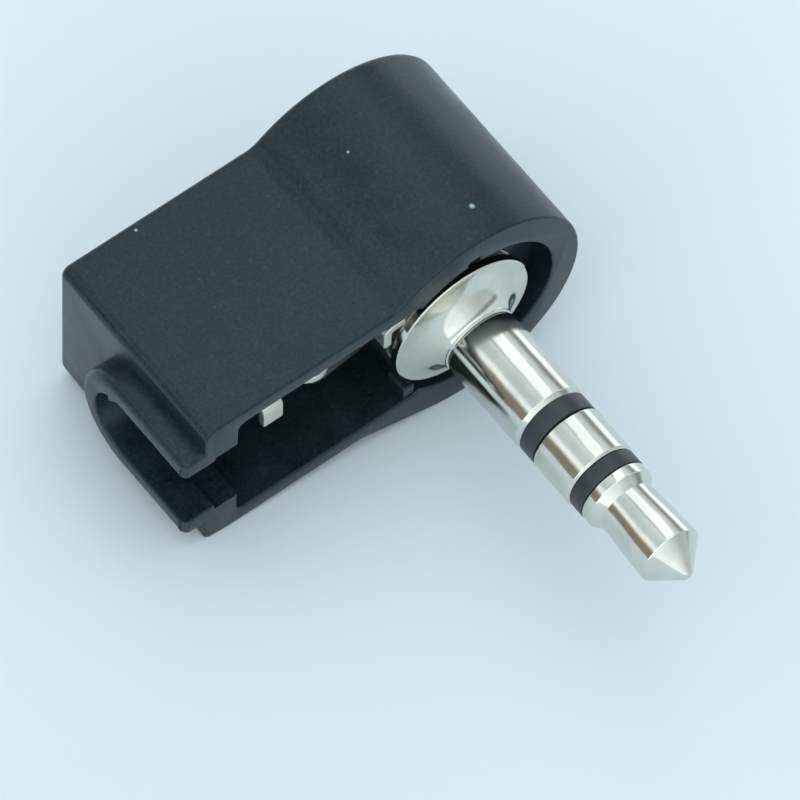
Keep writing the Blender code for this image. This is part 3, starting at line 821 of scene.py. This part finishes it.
def seated_corner(sizes):
    """Lower end corner at the rim: the flat that the plug rests on, along the floor's line
    through the head's lowest point, and a small quarter circle that touches it.
    """
    turn = rest_turn(sizes)
    slope = math.tan(turn)
    fall = -sizes.head_radius / math.cos(turn) - sizes.head_offset * slope
    low = sizes.seated_round
    centre_x = sizes.neck_end - low
    centre = (centre_x, slope * centre_x + fall + low / math.cos(turn))
    start = (-sizes.neck_half - fall) / slope
    return np.vstack(([[start, -sizes.neck_half]],
                      arc(centre, low, math.degrees(turn) - 90, 0, 19)))


def shell_outline(sizes, corner):
    """Round head, concave fillet and straight neck above, sloping flank below, and a round
    corner at either side of the end.
    """
    top = sizes.top_end_round
    rise = sizes.neck_half + sizes.neck_fillet
    reach = math.sqrt((sizes.head_radius + sizes.neck_fillet) ** 2 - rise ** 2)
    meet = math.degrees(math.atan2(rise, reach))
    slope = math.radians(FLANK)
    flank_x = sizes.head_offset + sizes.head_radius * math.sin(slope)
    flank_z = sizes.head_radius * math.cos(slope)
    flank_end = flank_x + (flank_z - sizes.neck_half) / math.tan(slope)
    return np.vstack((
        [[flank_end, -sizes.neck_half]],
        corner,
        arc((sizes.neck_end - top, sizes.neck_half - top), top, 0, 90, 12),
        arc((sizes.head_offset + reach, rise), sizes.neck_fillet, -90, meet - 180, 16),
        arc((sizes.head_offset, 0.0), sizes.head_radius, meet, 270 + FLANK, 220)[1:]))


def slot_outline(half, centre, top, rounding=0.0, flare=0.0):
    """U-shaped outline: a half circle at the closed end and straight sides to the top, its
    top corners eased, or its sides flared by a quarter circle where they pass the rim.
    """
    if flare > 0:
        side = arc((-flare, half + flare), flare, 270, 360, 5)
        ends = np.vstack((side, [[top, half + flare], [top, -half - flare]],
                          (side * (1, -1))[::-1]))
    else:
        corners = [[top, half], [top, -half]]
        ends = eased(np.vstack(([[-centre, half]], corners, [[-centre, -half]])),
                     (0.0, rounding, rounding, 0.0), closed=False)[1:-1]
    return np.vstack((ends, arc((-centre, 0.0), half, 270, 90, 48)))


def flared_rows(low, mouth, past, flare, steps=4):
    """Rows of a cutter whose mouth widens by a quarter circle: the inset is minus the
    radius times one less the cosine, at the mouth less the radius times one less the sine.
    """
    turn = np.linspace(0, math.pi / 2, steps + 1)
    way = math.copysign(1.0, past - mouth)
    curve = np.column_stack((-flare * (1 - np.cos(turn)),
                             mouth - way * flare * (1 - np.sin(turn))))
    return np.vstack(([[0.0, low]], curve, [[-flare, past]]))


class PLUG_OT_shell(bpy.types.Operator):
    """Build the moulded shell"""

    bl_idname = "plug.build_shell"
    bl_label = "Shell"

    def execute(self, context):
        """Outline carried through its depth, lip and nub added, hollows cut."""
        sizes = context.scene.plug_shell
        base = prism("shell_base", shell_outline(sizes, low_corner(sizes)), "Y",
                     rounded_rows(-sizes.depth, 0.0, sizes.edge_round, sizes.rim_round),
                     shell_outline(sizes, seated_corner(sizes)))
        floor = -(sizes.depth - sizes.back_wall)
        inner = sizes.neck_half - sizes.neck_wall
        bay_end = sizes.neck_end - sizes.end_wall
        lip_half = sizes.cable_half + sizes.lip_wall
        lip_end = sizes.neck_end + sizes.lip_length
        lip = prism("lip", slot_outline(lip_half, sizes.cable_centre, 0.0, LIP_CORNER), "X",
                    rounded_rows(sizes.neck_end - sizes.end_wall / 2, lip_end, 0.0,
                                 sizes.lip_round, 6))
        flare = sizes.mouth_round
        cable = sizes.cable_centre
        key_x = sizes.bore_offset
        key_top = sizes.bore_radius + KEY_OUT
        hollows = (
            ("bore", circle(sizes.bore_offset, sizes.bore_radius, 160), "Y",
             flared_rows(-sizes.seat, 0.0, PAST["bore"], flare)),
            ("inner_bore", circle(0, sizes.inner_bore, 120), "Y",
             [[0, floor], [0, PAST["inner_bore"]]]),
            ("bay", eased(rectangle(sizes.bay_start, bay_end, -inner, inner), BAY_CORNER),
             "Y", flared_rows(floor, 0.0, PAST["bay"], flare)),
            ("wide_slot", slot_outline(sizes.cable_half + SLOT_STEP, cable,
                                       PAST["wide_slot"]),
             "X", [[0, bay_end + way] for way in SLOT_STEP_SPAN]),
            ("narrow_slot", slot_outline(sizes.cable_half, cable, PAST["narrow_slot"],
                                         flare=flare),
             "X", flared_rows(bay_end + SLOT_START, lip_end, lip_end + PAST["lip"], flare)),
            ("key", eased(rectangle(key_x - KEY_HALF, key_x + KEY_HALF, key_top - KEY_REACH,
                                    key_top), KEY_ROUND),
             "Y", flared_rows(-sizes.seat, 0.0, PAST["key"], flare)))
        added = (
            ("nub", eased(rectangle(*NUB_SPAN, -inner - sizes.neck_wall / 2,
                                    -inner + NUB_HEIGHT), NUB_ROUNDS[0]),
             "Y", rounded_rows(*NUB_DEPTHS, 0.0, NUB_ROUNDS[1])),
            ("nib", eased(NIB, NIB_ROUNDS[0]),
             "X", rounded_rows(lip_end + NIB_SPAN[0], lip_end + NIB_SPAN[1], NIB_ROUNDS[1],
                               NIB_ROUNDS[1])))
        steps = [("UNION", lip)]
        steps += [("DIFFERENCE", prism(*hollow)) for hollow in hollows]
        steps += [("UNION", prism(*piece)) for piece in added]
        shell = combined(base, steps, "shell_moulding")
        dress(shell, look_named("moulded_plastic", shell_look), "shell_plastic",
              "housing_shell")
        return {"FINISHED"}


class PLUG_OT_contacts(bpy.types.Operator):
    """Build the sleeve, the ring and the tip"""

    bl_idname = "plug.build_contacts"
    bl_label = "Contacts"

    def execute(self, context):
        """Turn each contact's profile about the pin's axis."""
        pin = context.scene.plug_pin
        at = pin_places(pin)
        steps = context.scene.plug_stage.steps
        look = look_named("bright_nickel", nickel_look)
        self.make_sleeve(pin, at, look, steps)
        self.make_ring(at, look, steps)
        self.make_tip(pin, at, look, steps)
        return {"FINISHED"}

    @staticmethod
    def make_sleeve(pin, at, look, steps):
        """Sleeve with its root groove, bell flare, flange, hub and staked boss. The flare's
        radius is the foot's less the cosine of an angle, and its height is one less the
        sine, both scaled so that they meet the foot and the sleeve.
        """
        inset, drop = FLANGE_EDGES
        foot = pin.flange_radius - inset
        sweep = np.linspace(pin.flare_turn, math.pi / 2, 25)
        flare = np.column_stack((
            foot - (foot - pin.radius) * np.cos(sweep) / math.cos(pin.flare_turn),
            pin.flange_front + pin.flare_length * (1 - np.sin(sweep))
            / (1 - math.sin(pin.flare_turn))))
        back, hub, stake, rear = at.flange_back, at.hub_back, at.stake, at.sleeve_back
        groove = [pin.flange_front + pin.flare_length + height for height in GROOVE_HEIGHTS]
        depth = pin.radius - GROOVE_DEPTH
        top = eased([[SLEEVE_EDGE, pin.sleeve_length],
                     [pin.radius, pin.sleeve_length - SLEEVE_CHAMFER],
                     [pin.radius, groove[0]], [depth, groove[1]], [depth, groove[2]],
                     [pin.radius, groove[3]]],
                    (0, 0.0001, 0.00003, 0.00005, 0.00005, 0), closed=False)
        behind = eased([[foot, pin.flange_front], [pin.flange_radius, pin.flange_front - drop],
                        [pin.flange_radius, back], [HUB_RADIUS, back], [HUB_RADIUS, hub],
                        [BOSS_RADIUS, hub], [BOSS_RADIUS, stake], [HUB_RADIUS, stake],
                        [BOSS_RADIUS, rear], [SLEEVE_BORE, rear],
                        [SLEEVE_BORE, pin.sleeve_length]],
                       (0, 0.00004, 0.00008, 0.00005, 0.00005, 0, 0, 0.00004, 0.00004, 0, 0),
                       closed=False)
        sleeve = turned("sleeve_turning", np.vstack((top, flare, behind[1:])), steps)
        dress(sleeve, look, "nickel_plate", "sleeve_contact")

    @staticmethod
    def make_ring(at, look, steps):
        """Ring with the tube that carries it back to its flare."""
        low, high, flare, rear = at.ring, at.ring_end, at.ring_flare, at.ring_back
        edge = RING_RADIUS - RING_CHAMFER
        ring = eased([[edge, high], [RING_RADIUS, high - RING_CHAMFER],
                      [RING_RADIUS, low + RING_CHAMFER], [edge, low],
                      [RING_TUBE, low], [RING_TUBE, flare], [RING_FLARE_RADII[0], flare],
                      [RING_FLARE_RADII[1], rear], [RING_BORE, rear], [RING_BORE, high]],
                     (0.00004, 0.00005, 0.00005, 0.00004, 0, 0, 0.00004, 0.00004, 0, 0))
        dress(turned("ring_turning", ring, steps), look, "nickel_plate", "ring_contact")

    @staticmethod
    def make_tip(pin, at, look, steps):
        """Tip: a round nose and a cone, a swelling that falls to the neck by a power of the
        cosine, a taper out to the collar, and the rod with its peened head.
        """
        taper = at.tip + TAPER_END
        swell_end = at.tip_end - pin.tip_cone
        rise = np.linspace(0, 1, 18)
        fall = (TIP_SWELL - TIP_NECK) * np.cos(math.pi / 2 * rise) ** SWELL_FALL
        swell = np.column_stack((TIP_NECK + fall, swell_end - (swell_end - taper) * rise))
        slope = math.atan2(TIP_SWELL - TIP_END, pin.tip_cone - TIP_END)
        turn = slope * np.linspace(0, 1, 9)
        nose = np.column_stack((TIP_END * np.sin(turn),
                                at.tip_end - TIP_END * (1 - np.cos(turn))))
        shoulder = eased([nose[-1], swell[0], swell[1]], (0, 0.00012, 0), closed=False)
        head = at.rod_head
        rear = eased([swell[-1], [COLLAR_RADIUS, at.tip + COLLAR_LENGTH],
                      [COLLAR_RADIUS, at.tip], [ROD_RADIUS, at.tip], [ROD_RADIUS, head],
                      [ROD_HEAD_RADII[0], head], [ROD_HEAD_RADII[1], head - ROD_HEAD],
                      [0.0, head - ROD_HEAD]],
                     (0, 0.00012, 0.00006, 0, 0, 0.0001, 0.0001, 0), closed=False)
        tip = turned("tip_turning", np.vstack((nose, shoulder[1:-1], swell[1:-1], rear)),
                     steps, closed=False)
        dress(tip, look, "nickel_plate", "tip_contact")


class PLUG_OT_insulators(bpy.types.Operator):
    """Build the two moulded insulators of the pin"""

    bl_idname = "plug.build_insulators"
    bl_label = "Insulators"

    def execute(self, context):
        """Turn each insulator's profile: its band and the tube behind it."""
        pin = context.scene.plug_pin
        at = pin_places(pin)
        steps = context.scene.plug_stage.steps
        look = look_named("moulded_insulation", grained_look)
        for name, node, radius, tube, bore, low, high, rear in (
                ("outer_band", "outer_insulator", OUTER_BAND_RADIUS, SLEEVE_BORE - pin.fit,
                 RING_TUBE + pin.fit, at.band_1, at.band_1_end, at.sleeve_back),
                ("inner_band", "inner_insulator", INNER_BAND_RADIUS, RING_BORE - pin.fit,
                 ROD_RADIUS + pin.fit, at.band_2, at.band_2_end, at.ring_back)):
            profile = eased([[radius, high], [radius, low], [tube, low], [tube, rear],
                             [bore, rear], [bore, high]], (BAND_ROUND, BAND_ROUND, 0, 0, 0, 0))
            dress(turned(name, profile, steps), look, "insulation", node)
        return {"FINISHED"}


def ribbon(path, thickness, end_round):
    """Outline of a bent strip: the path moved half its thickness to either side along its
    mitres, with eased ends.
    """
    path = np.asarray(path)
    steps = np.diff(path, axis=0)
    steps /= np.linalg.norm(steps, axis=1)[:, None]
    normals = np.column_stack((-steps[:, 1], steps[:, 0]))
    before = np.vstack((normals[:1], normals))
    after = np.vstack((normals, normals[-1:]))
    mitre = (before + after) / (1 + np.sum(before * after, axis=1))[:, None]
    outline = np.vstack((path + mitre * thickness / 2, (path - mitre * thickness / 2)[::-1]))
    radii = np.zeros(len(outline))
    radii[[0, len(path) - 1, len(path), -1]] = end_round
    return eased(outline, radii)


class PLUG_OT_strap(bpy.types.Operator):
    """Build the ground strap"""

    bl_idname = "plug.build_strap"
    bl_label = "Ground strap"

    def execute(self, context):
        """Eye plate, hook, strip and cable clamp of one bent sheet."""
        scene = context.scene
        sizes = scene.plug_strap
        pin = scene.plug_pin
        sheet = sizes.sheet
        outer = scene.plug_shell.neck_half - scene.plug_shell.neck_wall - sizes.wall_gap
        middle = outer - sheet / 2
        front = pin_places(pin).hub_back - pin.fit
        back = front - sheet
        web = sizes.hook_start + sizes.hook_length - sheet / 2
        plate = self.make_plate(sizes, middle, outer, back, front)
        eye = prism("eye", circle(0, EYE_RADIUS, 90), "Y", [[0, back - sheet], [0, front + sheet]])
        hook_path = eased([[sizes.hook_start, middle], [web, middle],
                           [web, middle - sizes.hook_drop]], (0, sizes.bend, 0),
                          closed=False, steps=10)
        edge = STAMPED_ROUND
        hook = prism("hook", ribbon(hook_path, sheet, HOOK_ROUNDS[1]), "Y",
                     rounded_rows(back, -sizes.rim_drop, 0.0, edge, 3))
        clamp_end = sizes.clamp_start + sizes.clamp_length
        crown = np.linspace(-1, 1, 25)
        bow = np.column_stack((BOW_MIDDLE - BOW_HALF * crown,
                               -sizes.rim_drop - BOW_HEIGHT * crown ** 2))
        near_end = web - sheet
        strip = prism("strip", np.vstack((
            [[near_end, STRIP_BACK], [clamp_end, STRIP_BACK], [clamp_end, STRIP_STEP],
             [sizes.clamp_start - STRIP_STEP_START, STRIP_STEP]], bow,
            [[BOW_FOOT, STRIP_LOW], [near_end, STRIP_LOW]])), "Z",
            rounded_rows(outer - sheet, outer, edge, edge, 3))
        near = -sizes.rim_drop - sheet / 2
        clamp_path = eased([[near, middle - sizes.clamp_ear], [near, middle],
                            [-sizes.clamp_depth, middle],
                            [-sizes.clamp_depth, middle - sizes.clamp_ear]],
                           (0, sizes.bend, sizes.bend, 0), closed=False, steps=10)
        clamp = prism("clamp", ribbon(clamp_path, sheet, CLAMP_ROUND), "X",
                      rounded_rows(sizes.clamp_start, clamp_end, edge, edge, 3))
        strap = combined(plate, [("DIFFERENCE", eye), ("UNION", hook), ("UNION", strip),
                                 ("UNION", clamp)], "strap_stamping")
        dress(strap, look_named("tinned_sheet", grained_look), "tinned_plate", "ground_strap")
        return {"FINISHED"}

    @staticmethod
    def make_plate(sizes, middle, outer, back, front):
        """Round plate that reaches out to the hook: from the circle at the hook's drop, out
        to the hook's end, along the wall's side and back to the circle.
        """
        hook_end = sizes.hook_start + sizes.hook_length
        meet = math.degrees(math.asin(sizes.hook_drop / PLATE_RADIUS))
        top = math.degrees(math.asin(min(outer / PLATE_RADIUS, 1.0)))
        reach = eased(np.vstack(([arc((0, 0), PLATE_RADIUS, 0, meet, 1)[-1]],
                                 [[hook_end, middle - sizes.hook_drop], [hook_end, outer]],
                                 [arc((0, 0), PLATE_RADIUS, top, top, 1)[0]])),
                      (0, *HOOK_ROUNDS, 0), closed=False)
        around = arc((0, 0), PLATE_RADIUS, top, 360 + meet, 90)[1:-1]
        return prism("strap_plate", np.vstack((reach, around)), "Y",
                     rounded_rows(back, front, STAMPED_ROUND, STAMPED_ROUND, 2))


class PLUG_OT_carried(bpy.types.Operator):
    """Finish the washers and solder tags that the solids already give"""

    bl_idname = "plug.finish_carried"
    bl_label = "Washers and tags"

    def execute(self, context):
        """Give each carried solid its own finish."""
        for node, look in (("front_washer", "pressed_fibre"), ("rear_washer", "pressed_fibre"),
                           ("ring_solder_tag", "tinned_sheet"),
                           ("tip_solder_tag", "tinned_sheet")):
            for slot in bpy.data.objects[node].material_slots:
                slot.material = look_named(look, grained_look)
        return {"FINISHED"}


class PLUG_OT_stage(bpy.types.Operator):
    """Build the floor, the room, the lamp and the camera"""

    bl_idname = "plug.build_stage"
    bl_label = "Stage"

    def execute(self, context):
        """Pale floor, a striped room, one soft overhead lamp and the camera."""
        scene = context.scene
        values = scene.plug_stage
        self.make_floor(values)
        self.make_room(scene, values)
        lamp = bpy.data.lights.new("overhead_lamp", "AREA")
        lamp.shape = "RECTANGLE"
        lamp.size, lamp.size_y = LAMP_SIDES
        lamp.energy = values.lamp
        lamp.color = LAMP_TINT
        holder = linked("overhead_lamp", lamp)
        way = Vector(LAMP_WAY).normalized()
        holder.location = way * LAMP_DISTANCE
        holder.rotation_euler = way.to_track_quat("Z", "Y").to_euler()
        self.make_camera(scene, values)
        scene.view_settings.view_transform = "Standard"
        return {"FINISHED"}

    @staticmethod
    def make_floor(values):
        """Flat floor, a grid of four by four points, just under where the plug rests."""
        span = np.linspace(-FLOOR_HALF, FLOOR_HALF, 4)
        grid = np.zeros((4, 4, 3))
        grid[..., 0], grid[..., 1] = np.meshgrid(span, span, indexing="ij")
        grid[..., 2] = -FLOOR_DROP
        floor = grid_object("floor", grid, False, False)
        if floor.data.polygons[0].normal.z < 0:
            floor.data.flip_normals()
        look = Look("floor_paper", FLOOR_ROUGHNESS)
        # Painted light falloff: a soft noise darkens the floor's colour a little in broad patches
        painted_falloff = noise(look.tree, look.vector, FLOOR_FALLOFF_SCALE, 1.0, 0.4)
        look.set("Base Color", mix_colour(look.tree, spread(look.tree, painted_falloff, 0.35, 0.65),
                                          tinted(values.floor, FLOOR_PAINTED_FALLOFF), values.floor))
        floor.data.materials.append(look.material)

    @staticmethod
    def make_room(scene, values):
        """Room that the metal mirrors: on the shell's side long strips beside the pin,
        picked by the angle round its axis, which is the arctangent of height over sideways
        place, and on the tip's side bands across, picked by the share of the way that runs
        along the pin. The tip's side is also brighter towards the cable.
        """
        world = bpy.data.worlds.new("room")
        scene.world = world
        world.use_nodes = True
        tree = world.node_tree
        light = tree.nodes["Background"]
        place = tree.nodes.new("ShaderNodeTexCoord")
        split = tree.nodes.new("ShaderNodeSeparateXYZ")
        tree.links.new(place.outputs["Generated"], split.inputs[0])
        sideways, along, height = split.outputs
        turn = math_node(tree, "DIVIDE", math_node(tree, "ARCTAN2", height, sideways), math.pi)
        strips = colour_ramp(tree, turn, [(degrees / 180.0, level, tint)
                                          for degrees, level, tint in ROOM_STRIPS])
        bands = colour_ramp(tree, along, [(reached, level * values.front, COOL)
                                          for reached, level in ROOM_BANDS])
        front = spread(tree, along, *FRONT_SPAN)
        tree.links.new(mix_colour(tree, front, strips, bands), light.inputs["Color"])
        beside = spread(tree, sideways, *SIDE_SPAN, values.fill * AWAY_LEVEL,
                        values.fill * values.side)
        tree.links.new(spread(tree, front, 0.0, 1.0, values.fill, beside),
                       light.inputs["Strength"])

    @staticmethod
    def make_camera(scene, values):
        """Camera of the photo's view, found in the shell's frame and turned with it."""
        back = Vector(CAMERA_BACK).normalized()
        level = Vector((0, 0, 1)).cross(back).normalized()
        up = back.cross(level)
        right = math.cos(CAMERA_ROLL) * level + math.sin(CAMERA_ROLL) * up
        top = math.cos(CAMERA_ROLL) * up - math.sin(CAMERA_ROLL) * level
        turn = Matrix((right, top, back)).transposed().to_4x4()
        turn.translation = Vector(CAMERA_PLACE)
        camera = bpy.data.cameras.new("camera")
        camera.lens = values.lens
        camera.sensor_width = 36.0
        camera.clip_start = 0.01
        camera.clip_end = 10.0
        holder = linked("camera", camera)
        holder.matrix_world = rest_matrix(scene.plug_shell, scene.plug_pin) @ turn
        scene.camera = holder


OPERATORS = (PLUG_OT_shell, PLUG_OT_contacts, PLUG_OT_insulators, PLUG_OT_strap,
             PLUG_OT_carried, PLUG_OT_stage)


class PLUG_PT_panel(bpy.types.Panel):
    """Sidebar panel that lists the plug's pieces"""

    bl_idname = "PLUG_PT_panel"
    bl_label = "Jack plug"
    bl_space_type = "VIEW_3D"
    bl_region_type = "UI"
    bl_category = "Jack plug"

    def draw(self, context):
        """One button for each operator, then every size and finish."""
        for operator in OPERATORS:
            self.layout.operator(operator.bl_idname)
        for label in HOLDERS:
            values = getattr(context.scene, label)
            box = self.layout.box()
            for key in values.__annotations__:
                box.prop(values, key)


HOLDERS = {"plug_shell": ShellSizes, "plug_pin": PinSizes, "plug_strap": StrapSizes,
           "plug_finishes": Finishes, "plug_stage": StageValues}


def register():
    """Register the value groups, the operators and the panel."""
    for label, holder in HOLDERS.items():
        bpy.utils.register_class(holder)
        setattr(bpy.types.Scene, label, PointerProperty(type=holder))
    for item in (*OPERATORS, PLUG_PT_panel):
        bpy.utils.register_class(item)


def unregister():
    """Undo the registration."""
    for item in (PLUG_PT_panel, *reversed(OPERATORS)):
        bpy.utils.unregister_class(item)
    for label, holder in HOLDERS.items():
        delattr(bpy.types.Scene, label)
        bpy.utils.unregister_class(holder)


def main():
    """Build every piece in order."""
    register()
    bpy.ops.plug.build_shell()
    bpy.ops.plug.build_contacts()
    bpy.ops.plug.build_insulators()
    bpy.ops.plug.build_strap()
    bpy.ops.plug.finish_carried()
    bpy.ops.plug.build_stage()


if __name__ == "__main__":
    main()
